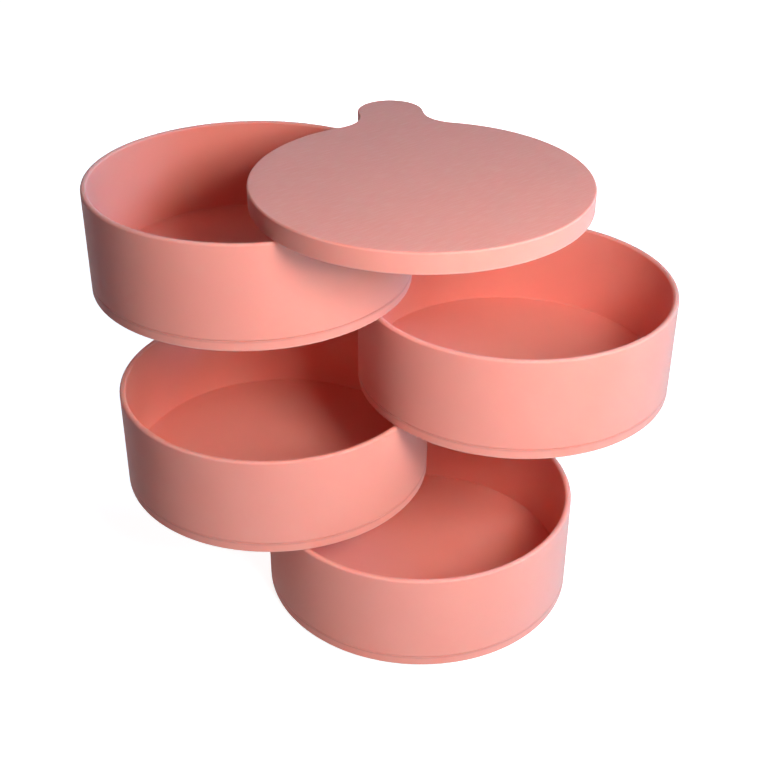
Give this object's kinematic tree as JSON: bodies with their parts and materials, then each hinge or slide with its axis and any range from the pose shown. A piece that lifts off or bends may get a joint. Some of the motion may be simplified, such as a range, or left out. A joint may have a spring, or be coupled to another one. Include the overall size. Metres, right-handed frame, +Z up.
{
  "type": "rotating jewelry organizer",
  "caption": "Tower of round open trays under a flat lid, all swivelling sideways on one upright hinge column behind them, for keeping jewelry and small things.",
  "frame": {"origin": "on the hinge axis at the surface it stands on, at the centre of the foot under the hinge column", "axes": "+Z up along the hinge axis, -Y the way the bottom tray points (front), +X to the right"},
  "size_m": [0.1902, 0.1339, 0.1485],
  "materials": {
    "tray_plastic": "matte moulded",
    "base_plastic": "matte moulded",
    "lid_plastic": "fine matte texture",
    "lid_plate_plastic": "matte moulded",
    "bush_plastic": "satin moulded",
    "pivot_steel": "zinc plated",
    "spring_steel": "dark oiled",
    "foot_rubber": "matte"
  },
  "bodies": {
    "bottom_tray": {"tray_4_cup": "tray_plastic", "tray_4_base": "base_plastic", "tray_4_pivot_bush": "bush_plastic", "rubber_feet": "foot_rubber"},
    "third_tray": {"tray_3_cup": "tray_plastic", "tray_3_base": "base_plastic", "tray_3_pivot_bush": "bush_plastic", "tray_3_pivot_pin": "pivot_steel", "tray_3_disc_spring": "spring_steel", "tray_3_pivot_washer": "pivot_steel", "tray_3_pivot_screw": "pivot_steel"},
    "second_tray": {"tray_2_cup": "tray_plastic", "tray_2_base": "base_plastic", "tray_2_pivot_bush": "bush_plastic", "tray_2_pivot_pin": "pivot_steel", "tray_2_disc_spring": "spring_steel", "tray_2_pivot_washer": "pivot_steel", "tray_2_pivot_screw": "pivot_steel"},
    "top_tray": {"tray_1_cup": "tray_plastic", "tray_1_base": "base_plastic", "tray_1_pivot_bush": "bush_plastic", "tray_1_pivot_pin": "pivot_steel", "tray_1_disc_spring": "spring_steel", "tray_1_pivot_washer": "pivot_steel", "tray_1_pivot_screw": "pivot_steel"},
    "lid": {"lid_cover": "lid_plastic", "lid_underplate": "lid_plate_plastic", "lid_pivot_pin": "pivot_steel", "lid_disc_spring": "spring_steel", "lid_pivot_washer": "pivot_steel", "lid_pivot_screw": "pivot_steel"}
  },
  "joints": [
    {"name": "third_tray_swivel", "type": "hinge", "parent": "bottom_tray", "child": "third_tray", "pos_m": [0, 0, 0.0362], "axis": [0, 0, 1], "continuous": true},
    {"name": "second_tray_swivel", "type": "hinge", "parent": "third_tray", "child": "second_tray", "pos_m": [0, 0, 0.0714], "axis": [0, 0, 1], "continuous": true},
    {"name": "top_tray_swivel", "type": "hinge", "parent": "second_tray", "child": "top_tray", "pos_m": [0, 0, 0.1066], "axis": [0, 0, 1], "continuous": true},
    {"name": "lid_swivel", "type": "hinge", "parent": "top_tray", "child": "lid", "pos_m": [0, 0, 0.1418], "axis": [0, 0, 1], "continuous": true}
  ]
}
